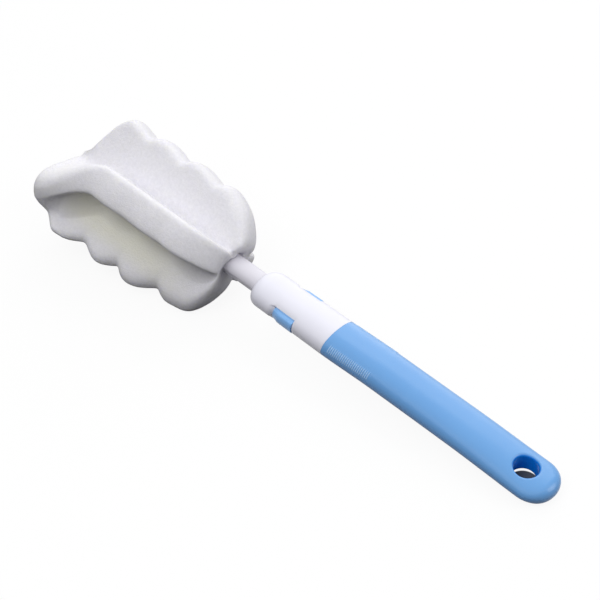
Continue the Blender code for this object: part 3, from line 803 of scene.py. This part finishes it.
def make_stem(material):
    angles = even_angles(ROUND_POINTS)
    shank = even_oval(SHANK[0] / 2, SHANK[1] / 2, POWER, angles)
    rod = even_oval(ROD_RADIUS, ROD_RADIUS, 2, angles)
    flange = even_oval(*(size / 2 - FLANGE_GAP for size in NECK_BORE), BORE_POWER, angles)
    stops = [(ROD_X, rod), (FOAM_BOTTOM - ROD_STEP, rod), (FOAM_BOTTOM, shank)]
    stops += [(x, shank) for x in spread(FOAM_BOTTOM + ROD_STEP, FLANGE_X, SHANK_STEP)]
    stops += [(FLANGE_X, flange), (FLANGE_END_X, flange)]
    bm = draw_solid([at(x, points) for x, points in stops])
    for vert in bm.verts:
        x, y, z = vert.co
        inside = GROOVE_HALF - abs(z - GROOVE_Z)
        if GROOVE_X < x < GROOVE_END_X and inside > 0:
            share = smooth((GROOVE_END_X - x) / GROOVE_FADE) * smooth(inside / GROOVE_SIDE)
            vert.co.y -= math.copysign(GROOVE_DEPTH * share, y)
    piece = make_piece("stem_moulding", bm, "head", material, ("stem",))
    soften(piece, STEM_EDGE)


# Neck

NECK_WIDTH = 0.0221
NECK_HEIGHT = 0.0130
NOSE_LENGTH = 0.0058
NOSE_RIM = 0.0009
NOSE_BORE_GAP = 0.0003
NOSE_BORE_DEPTH = 0.0040
NECK_WALL = 0.0010
NECK_EDGE = 0.00008
NOSE_STEPS = 20
NECK_STEP = 0.0006
DISH_STEP = 0.0003
REAR_STEP = 0.0008
SEAM_GAP = 0.00004

WINDOW_HALF_HEIGHT = 0.0040
QUARTER_POINTS = 40
WINDOW_POINTS = 22
HIGHEST_WINDOW = 0.9
# The dip in the neck's side before each window, and the lowered lip beside the window
DISH_DEPTH = 0.0011
DISH_FADES = ((0.0008, 0.0022), (0.0004, 0.0004), (0.0002, 0.0010))
LIP_DEPTH = 0.0005
LIP_FADES = ((0.0010, 0.0010), (0.0006, 0.0006), (0.0018, 0.0018))

# The handle's width, top and underside at the seam, in the middle and at the butt
SEAM_SIZES = (0.0232, 0.0065, 0.0062)
MIDDLE_SIZES = (0.0232, 0.0063, 0.0059)
BUTT_SIZES = (0.0246, 0.0044, 0.0050)


def neck_sizes(x):
    """Half width, top and underside of the neck at a place along it."""
    nose = round_over((x - NOSE_X) / NOSE_LENGTH)
    share = (x - NOSE_X) / (SEAM_X - NOSE_X)
    fronts = (NECK_WIDTH / 2, NECK_HEIGHT / 2, NECK_HEIGHT / 2)
    rears = (SEAM_SIZES[0] / 2, SEAM_SIZES[1], SEAM_SIZES[2])
    rims = [SHANK[i] / 2 + NOSE_RIM for i in (0, 1, 1)]
    full = [front + (rear - front) * share for front, rear in zip(fronts, rears)]
    return [rim + (size - rim) * nose for rim, size in zip(rims, full)]


def neck_angles(top, underside):
    """Angles round the neck with a vertex exactly at the window's upper and lower edges."""

    def quarter_angles(height):
        edge = math.asin(min((WINDOW_HALF_HEIGHT / height) ** (POWER / 2), HIGHEST_WINDOW))
        rest = QUARTER_POINTS - WINDOW_POINTS
        beside = [edge * k / WINDOW_POINTS for k in range(WINDOW_POINTS)]
        return beside + [edge + (math.pi / 2 - edge) * k / rest for k in range(rest)]

    up, down = quarter_angles(top), quarter_angles(underside)
    angles = up + [math.pi / 2] + [math.pi - a for a in reversed(up[1:])]
    angles += [math.pi] + [math.pi + a for a in down[1:]] + [3 * math.pi / 2]
    return angles + [2 * math.pi - a for a in reversed(down[1:])]


def thumb_dish(place):
    """How far the neck's side dips in before and beside each window."""

    def within(x_start, x_end, half_height, fades):
        insets = (place.x - x_start, x_end - place.x, half_height - abs(place.z))
        shares = [smooth((inset + more) / fade) for inset, (more, fade) in zip(insets, fades)]
        return math.prod(shares)

    dish = within(WINDOW_X, OPENING_X, WINDOW_HALF_HEIGHT, DISH_FADES)
    lip = within(OPENING_X, WINDOW_END_X, WINDOW_HALF_HEIGHT, LIP_FADES)
    return DISH_DEPTH * dish + LIP_DEPTH * lip


def make_neck(material):
    ends = [size / 2 + NOSE_BORE_GAP for size in SHANK]
    rim = even_oval(*ends, POWER, neck_angles(NECK_HEIGHT / 2, NECK_HEIGHT / 2))
    rings = [at(NOSE_X + NOSE_BORE_DEPTH, rim), at(NOSE_X, rim)]
    turns = [math.pi / 2 * k / NOSE_STEPS for k in range(NOSE_STEPS + 1)]
    places = [NOSE_X + NOSE_LENGTH * (1 - math.cos(turn)) for turn in turns]
    for start, end, step in (
        (NOSE_X + NOSE_LENGTH, WINDOW_X, NECK_STEP),
        (WINDOW_X, OPENING_X, DISH_STEP),
        (OPENING_X, WINDOW_END_X, NECK_STEP),
        (WINDOW_END_X, SEAM_X - SEAM_GAP / 2, REAR_STEP),
    ):
        places += spread(start, end, step)[1:]
    for x in places:
        width, top, underside = neck_sizes(x)
        ring = at(x, oval(width, top, underside, POWER, neck_angles(top, underside)))
        for point in ring:
            point.y -= math.copysign(thumb_dish(point), point.y)
        rings.append(ring)
    bm, _ = draw_skin(rings)
    windows = [
        face
        for face in bm.faces
        if min(v.co.x for v in face.verts) > OPENING_X - 10 * TINY
        and max(v.co.x for v in face.verts) < WINDOW_END_X + 10 * TINY
        and max(abs(v.co.z) for v in face.verts) < WINDOW_HALF_HEIGHT + 10 * TINY
    ]
    bmesh.ops.delete(bm, geom=windows, context="FACES")
    neck = make_piece("neck_shell", bm, "head", material, ("neck_sleeve",))
    thicken(neck, NECK_WALL, NECK_EDGE)


# Latch

PLUG_GAP = 0.0004
PLUG_STEP_X = SEAM_X - 0.0003
TAIL = (0.0096, 0.00445)
WAIST = (0.0084, 0.00325)
WAIST_X, WAIST_END_X = 0.1750, 0.1782
PLUG_EDGE = 0.0004

BUTTON_X, BUTTON_END_X = OPENING_X + 0.0003, WINDOW_END_X - 0.0001
BUTTON_OUTER, BUTTON_INNER = 0.0113, 0.0072
BUTTON_HEIGHT = 0.0076
BUTTON_CUTS = 19
BUTTON_PROUD = 0.0003
# The button slopes in at its front end and along its upper edge
FRONT_DROP, FRONT_DROP_LENGTH = 0.0009, 0.0040
UPPER_DROP, UPPER_DROP_Z, UPPER_DROP_FADE = 0.0010, 0.0026, 0.0006
BLADE_END_X = ARM_ROOT_X + 0.0012
BLADE_Y, BLADE_WIDTH, BLADE_HEIGHT = 0.0074, 0.0024, 0.0052
LATCH_EDGE = 0.00015


def make_plug(material):
    angles = even_angles(ROUND_POINTS)
    head = [size / 2 - PLUG_GAP for size in NECK_BORE]
    stops = [(ARM_ROOT_X, head), (PLUG_STEP_X, head), (PLUG_STEP_X, TAIL), (WAIST_X, TAIL)]
    stops += [(WAIST_X, WAIST), (WAIST_END_X, WAIST), (WAIST_END_X, TAIL), (PLUG_END_X, TAIL)]
    bm = draw_solid([at(x, even_oval(*sizes, BORE_POWER, angles)) for x, sizes in stops])
    plug = make_piece("latch_plug_moulding", bm, "handle", material, ("latch_plug",))
    soften(plug, PLUG_EDGE)


def make_arm(name, side, body, node, material):
    """A latch arm: a thin spring blade and the button that stands in the neck's window."""
    bm = bmesh.new()
    depth = BUTTON_OUTER - BUTTON_INNER
    add_block(
        bm,
        (BUTTON_END_X - BUTTON_X, depth, BUTTON_HEIGHT),
        Vector(((BUTTON_X + BUTTON_END_X) / 2, side * (BUTTON_OUTER + BUTTON_INNER) / 2, 0)),
    )
    bmesh.ops.subdivide_edges(bm, edges=bm.edges, cuts=BUTTON_CUTS, use_grid_fill=True)
    for vert in bm.verts:
        width, height, _ = neck_sizes(vert.co.x)
        skin = width * (1 - (abs(vert.co.z) / height) ** POWER) ** (1 / POWER) + BUTTON_PROUD
        skin -= FRONT_DROP * (1 - smooth((vert.co.x - BUTTON_X) / FRONT_DROP_LENGTH))
        skin -= UPPER_DROP * smooth((vert.co.z - UPPER_DROP_Z) / UPPER_DROP_FADE)
        share = (abs(vert.co.y) - BUTTON_INNER) / depth
        vert.co.y = side * (BUTTON_INNER + (skin - BUTTON_INNER) * share)
    add_block(
        bm,
        (BLADE_END_X - BUTTON_END_X, BLADE_WIDTH, BLADE_HEIGHT),
        Vector(((BLADE_END_X + BUTTON_END_X) / 2, side * BLADE_Y, 0)),
    )
    arm = make_piece(name, bm, body, material, (node,))
    soften(arm, LATCH_EDGE)


# Handle

HANDLE_LENGTH = BUTT_X - SEAM_X
LINER = (0.0099, 0.00475)
LINER_DEPTH = 0.006
FRONT_EDGE = 0.00008
FRONT_EDGE_STEPS = 4
BUTT_ROUNDING = 0.0120
BUTT_EDGE_ROUNDING = 0.0050
SHELL_WALL = 0.0012
SHELL_EDGE = 0.00012
HANDLE_POINTS = 160
HANDLE_FRONT_STEP = 0.0006
HANDLE_STEP = 0.0010
MERGED = 0.000004
PARTING = 0.0008
PARTING_GAP = 0.00008

HOLE_RADIUS = 0.0058
HOLE_RIM_RADIUS = 0.0014
PATCH_X = HOLE_X - 0.0125
LONGEST_RAY = 0.030
RAY_HALVINGS = 50
BUTT_RAYS = 96
BUTT_STEPS = 26
RIM_STEPS = 8

# The fine grip ribs on the handle's shoulders, and the band of heights that they cover
RIB_START = 0.1710
RIB_PITCH = 0.00105
RIBS = 23
RIB_STEPS = 8
RIB_END_FADE = 0.3
RIB_DEPTH = 0.00022
RIB_LOW, RIB_HIGH, RIB_FADE = 0.0014, 0.0050, 0.0006
RIB_LEAN = (0.75, 0.66)

# How far the handle arches up over the table between the seam and the butt
BOW = 0.0008
BOW_RISE, BOW_FALL, BOW_END = 0.030, 0.040, BUTT_X - 0.010

# Where the painted shade in the hole and under the handle starts, and over what length it fades
BORE_SHADE_START, BORE_SHADE_FADE = 0.0002, 0.0006
UNDERSIDE_SHADE_START, UNDERSIDE_SHADE_FADE = 0.0012, 0.0042


def handle_sizes(x):
    """Half width, top and underside of the handle at a place along it."""
    share = (x - SEAM_X) / HANDLE_LENGTH
    along = zip(SEAM_SIZES, MIDDLE_SIZES, BUTT_SIZES)
    width, top, underside = (between(*sizes, share) for sizes in along)
    edge = round_over((BUTT_X - x) / BUTT_EDGE_ROUNDING)
    return width / 2 * round_over((BUTT_X - x) / BUTT_ROUNDING), top * edge, underside * edge


def handle_height(x, y, upper):
    """Height of the handle's surface over or under a point of its outline."""
    width, top, underside = handle_sizes(x)
    share = min(abs(y) / width, 1.0) if width > 0 else 1.0
    rise = (1 - share**POWER) ** (1 / POWER)
    return top * rise if upper else -underside * rise


def outline_reach(angle):
    """How far the handle's outline lies from the hole's middle in a direction."""
    near, far = HOLE_RADIUS, LONGEST_RAY
    for _ in range(RAY_HALVINGS):
        middle = (near + far) / 2
        x = HOLE_X + middle * math.cos(angle)
        if abs(middle * math.sin(angle)) < handle_sizes(x)[0] and x < BUTT_X:
            near = middle
        else:
            far = middle
    return near


def butt_rays(angles):
    """Rays from the hole's middle: through each vertex of the last ring, then round the butt."""
    width, _, _ = handle_sizes(PATCH_X)
    rays = []
    for angle in angles[: len(angles) // 2 + 1]:
        y = width * math.copysign(abs(math.cos(angle)) ** (2 / POWER), math.cos(angle))
        offset = Vector((PATCH_X - HOLE_X, y))
        rays.append((offset.normalized(), offset.length))
    start = math.atan2(-width, PATCH_X - HOLE_X)
    for k in range(1, BUTT_RAYS):
        angle = start + (-2 * start) * k / BUTT_RAYS
        rays.append((Vector((math.cos(angle), math.sin(angle))), outline_reach(angle)))
    return rays


def butt_rings(angles):
    """Rings round the hanging hole, from the outline's underside through the hole to its top."""
    rays = butt_rays(angles)
    rim_end = HOLE_RADIUS + HOLE_RIM_RADIUS

    def ring_at(reach_of, upper, drop):
        ring = []
        for line, length in rays:
            reach = reach_of(length)
            x, y = HOLE_X + line.x * reach, line.y * reach
            ring.append(Vector((x, y, handle_height(x, y, upper) - drop)))
        return ring

    def flat_ring(share, upper):
        return ring_at(lambda length: rim_end + (length - rim_end) * share, upper, 0)

    def rim_ring(angle, upper):
        drop = (1 if upper else -1) * HOLE_RIM_RADIUS * (1 - math.sin(angle))
        return ring_at(lambda length: rim_end - HOLE_RIM_RADIUS * math.cos(angle), upper, drop)

    shares = [math.sin(math.pi / 2 * k / BUTT_STEPS) for k in range(BUTT_STEPS + 1)]
    turns = [math.pi / 2 * k / RIM_STEPS for k in range(RIM_STEPS)]
    rings = [flat_ring(share, False) for share in reversed(shares)]
    rings += [rim_ring(angle, False) for angle in reversed(turns)]
    rings += [rim_ring(angle, True) for angle in turns]
    rings += [flat_ring(share, True) for share in shares]
    return rings


def rib_height(x, y, z):
    """How far the ribs stand over the handle's skin."""
    along = (x - RIB_START) / RIB_PITCH
    if not 0 < along < RIBS or z < 0:
        return 0.0
    fade = smooth(min(along, RIBS - along) / RIB_END_FADE)
    band = smooth((z - RIB_LOW) / RIB_FADE) * smooth((RIB_HIGH - z) / RIB_FADE)
    ridge = 0.5 - 0.5 * math.cos(2 * math.pi * along)
    return RIB_DEPTH * fade * band * ridge


def bow(x):
    return BOW * smooth((x - SEAM_X) / BOW_RISE) * smooth((BOW_END - x) / BOW_FALL)


# Painted shade: 1 on the hanging hole's wall, which is painted a deeper, darker blue
def bore_shade_mask(place):
    out = math.hypot(place.x - HOLE_X, place.y) - HOLE_RADIUS
    return 1 - smooth((out - BORE_SHADE_START) / BORE_SHADE_FADE)


# Painted highlight: strongest on the rib crests, which are painted a lighter blue
def rib_highlight_mask(place):
    return (rib_height(place.x, place.y, place.z - bow(place.x)) / RIB_DEPTH) ** 2


# Painted shade: 1 low on the handle, which is painted a darker blue
def underside_shade_mask(place):
    return smooth((UNDERSIDE_SHADE_START - place.z + bow(place.x)) / UNDERSIDE_SHADE_FADE)


def handle_rings(angles):
    """Rings from inside the handle's front end, round its edge and back to the hole's patch."""
    liner = even_oval(*LINER, BORE_POWER, angles)
    front = SEAM_X + SEAM_GAP / 2
    width, top, underside = handle_sizes(front)
    rings = [at(front + LINER_DEPTH, liner), at(front, liner)]
    for k in range(FRONT_EDGE_STEPS + 1):
        angle = math.pi / 2 * k / FRONT_EDGE_STEPS
        inset = FRONT_EDGE * (1 - math.sin(angle))
        x = front + FRONT_EDGE * (1 - math.cos(angle))
        rings.append(at(x, oval(width - inset, top - inset, underside - inset, POWER, angles)))
    places = []
    rib_end = RIB_START + RIBS * RIB_PITCH
    for start, end, step in (
        (front + FRONT_EDGE, RIB_START, HANDLE_FRONT_STEP),
        (RIB_START, rib_end, RIB_PITCH / RIB_STEPS),
        (rib_end, PATCH_X, HANDLE_STEP),
    ):
        places += spread(start, end, step)[1:]
    for x in places:
        ring = at(x, oval(*handle_sizes(x), POWER, angles))
        for point in ring:
            rise = rib_height(*point)
            if rise:
                point.y += math.copysign(rise * RIB_LEAN[0], point.y)
                point.z += rise * RIB_LEAN[1]
        rings.append(ring)
    return rings


def make_handle(material):
    angles = even_angles(HANDLE_POINTS)
    rings, round_hole = handle_rings(angles), butt_rings(angles)
    for name, side, node in (
        ("handle_top", 1, "handle_upper_shell"),
        ("handle_base", -1, "handle_lower_shell"),
    ):
        bm, _ = draw_skin(rings)
        draw_skin(round_hole, bm)
        bmesh.ops.remove_doubles(bm, verts=bm.verts, dist=MERGED)
        bmesh.ops.bisect_plane(
            bm,
            geom=[*bm.verts, *bm.edges, *bm.faces],
            plane_co=(0, 0, PARTING + side * PARTING_GAP / 2),
            plane_no=(0, 0, side),
            clear_inner=True,
        )
        for vert in bm.verts:
            vert.co.z += bow(vert.co.x)
        shell = make_piece(name, bm, "handle", material, (node,))
        # Masks for the painted shade in the hole and under the handle, and the painted highlights
        # on the ribs
        mark(shell, "bore", bore_shade_mask)
        mark(shell, "rib", rib_highlight_mask)
        mark(shell, "underside", underside_shade_mask)
        thicken(shell, SHELL_WALL, SHELL_EDGE)


# Floor, lights and camera

FLOOR_SIZE = 6.0
FLOOR_SHADE = (0.09, 0.09, 0.095, 1)
FLOOR_ROUGHNESS = 0.9
PALE = (0.95, 0.95, 0.95, 1)
SHADE_SHARE = 0.08
# A dark patch painted on the floor as shadow under the hanging hole, which shows through it
PAINTED_HOLE_SHADOW = (0.10, 0.11, 0.13, 1)
PAINTED_SHADOW_RADII = (0.0068, 0.0072)
WALL_LIGHT = 0.15

# Name, place, target, size, power and whether it is mirrored in the plastic
LIGHTS = (
    ("overhead softbox", (0.10, -0.10, 1.00), (0.10, -0.10, 0), 2.0, 7.9, True),
    ("front softbox", (-0.05, -0.65, 0.95), (0.05, 0, 0), 0.7, 4.5, False),
    ("rear softbox", (-0.45, 0.85, 0.60), (0.10, 0, 0), 1.3, 7.4, True),
    ("side softbox", (0.95, 0.60, 0.55), (0.08, 0, 0), 0.7, 4.2, True),
)

LENS = 108.0
SENSOR = 36.0
CAMERA_PLACE = (0.491482, -0.453298, 0.601547)
CAMERA_RIGHT = Vector((0.738309, 0.670539, 0.07976))
CAMERA_UP = Vector((-0.527159, 0.499086, 0.68854))
CAMERA_BACK = Vector((0.421451, -0.550402, 0.721514))


def looked_at(tree):
    """1 for what the camera sees, mirrored and clear things included, and 0 for plain light."""
    rays = add_node(tree, "ShaderNodeLightPath").outputs
    seen = rays["Is Camera Ray"]
    for other in ("Is Glossy Ray", "Is Transmission Ray"):
        both = {0: seen, 1: rays[other]}
        seen = add_node(tree, "ShaderNodeMath", both, operation="MAXIMUM").outputs[0]
    return seen


def make_floor_material():
    """Pale where the camera looks, with the brush's shadow and a painted shadow patch under the
    hanging hole, and dim as a source of light.
    """
    material, tree, shader = new_material("pale floor", FLOOR_ROUGHNESS)
    shader.inputs["Base Color"].default_value = FLOOR_SHADE
    shader.inputs["Specular IOR Level"].default_value = 0.0
    # Painted shadow: a dark patch on the floor under the hanging hole
    under_hole = TOOL @ Vector((HOLE_X, 0, 0))
    under_hole.z = 0
    ends = {0: own_place(tree), 1: under_hole}
    away = add_node(tree, "ShaderNodeVectorMath", ends, operation="DISTANCE")
    inputs = {"Value": away.outputs["Value"], "To Min": 1.0, "To Max": SHADE_SHARE}
    inputs["From Min"], inputs["From Max"] = PAINTED_SHADOW_RADII
    painted_shadow_patch = add_node(tree, "ShaderNodeMapRange", inputs).outputs[0]
    tone = blend(tree, painted_shadow_patch, PALE, PAINTED_HOLE_SHADOW)
    glow = add_node(tree, "ShaderNodeEmission", {"Strength": 1.0})
    matt = add_node(tree, "ShaderNodeBsdfDiffuse", {"Color": tone})
    inputs = {"Fac": painted_shadow_patch, 1: glow.outputs[0], 2: matt.outputs[0]}
    seen = add_node(tree, "ShaderNodeMixShader", inputs)
    inputs = {"Fac": looked_at(tree), 1: shader.outputs[0], 2: seen.outputs[0]}
    both = add_node(tree, "ShaderNodeMixShader", inputs)
    tree.links.new(both.outputs[0], tree.nodes["Material Output"].inputs["Surface"])
    return material


def make_floor():
    bm = bmesh.new()
    bmesh.ops.create_grid(bm, x_segments=1, y_segments=1, size=FLOOR_SIZE)
    mesh = bpy.data.meshes.new("floor")
    bm.to_mesh(mesh)
    bm.free()
    mesh.materials.append(make_floor_material())
    floor = bpy.data.objects.new("floor", mesh)
    bpy.context.scene.collection.objects.link(floor)


def make_light(name, place, target, size, power, mirrored):
    lamp = bpy.data.lights.new(name, "AREA")
    lamp.shape = "DISK"
    lamp.size = size
    lamp.energy = power
    light = bpy.data.objects.new(name, lamp)
    bpy.context.scene.collection.objects.link(light)
    light.location = place
    light.visible_glossy = mirrored
    light.rotation_euler = (Vector(target) - Vector(place)).to_track_quat("-Z", "Y").to_euler()


def make_world():
    """Pale studio walls: pure white where the camera or a reflection looks, softer as a light."""
    world = bpy.data.worlds.new("studio")
    bpy.context.scene.world = world
    world.use_nodes = True
    tree = world.node_tree
    background = tree.nodes["Background"]
    background.inputs["Color"].default_value = (1, 1, 1, 1)
    inputs = {0: looked_at(tree), 2: WALL_LIGHT, 3: 1.0}
    strength = add_node(tree, "ShaderNodeMix", inputs, data_type="FLOAT")
    tree.links.new(strength.outputs[0], background.inputs["Strength"])


def make_camera():
    """The photograph's own view, found from the tool's outline, seam, windows and hole."""
    data = bpy.data.cameras.new("camera")
    data.lens = LENS
    data.sensor_width = SENSOR
    camera = bpy.data.objects.new("camera", data)
    bpy.context.scene.collection.objects.link(camera)
    turn = Matrix((CAMERA_RIGHT, CAMERA_UP, CAMERA_BACK)).transposed()
    camera.matrix_world = TOOL @ Matrix.Translation(CAMERA_PLACE) @ turn.to_4x4()
    bpy.context.scene.camera = camera


def main():
    white = make_plastic("white plastic", WHITE_PLASTIC)
    # Painted shade under the handle and in its hole, and painted highlights on its ribs
    marks = (("underside", UNDERSIDE_SHADE_BLUE), ("bore", BORE_SHADE_BLUE), ("rib", RIB_HIGHLIGHT_BLUE))
    blue = make_plastic("handle blue plastic", HANDLE_BLUE, marks, dull="underside")
    latch = make_plastic("latch blue plastic", LATCH_BLUE)
    make_foam()
    make_stem(make_plastic("stem plastic", STEM_PLASTIC))
    make_neck(white)
    make_plug(latch)
    make_arm("latch_button_front", -1, "latch_front", "latch_arm_front", latch)
    make_arm("latch_button_rear", 1, "latch_rear", "latch_arm_rear", latch)
    make_handle(blue)
    make_floor()
    for light in LIGHTS:
        make_light(*light)
    make_world()
    make_camera()
    bpy.context.scene.view_settings.view_transform = "Standard"


main()
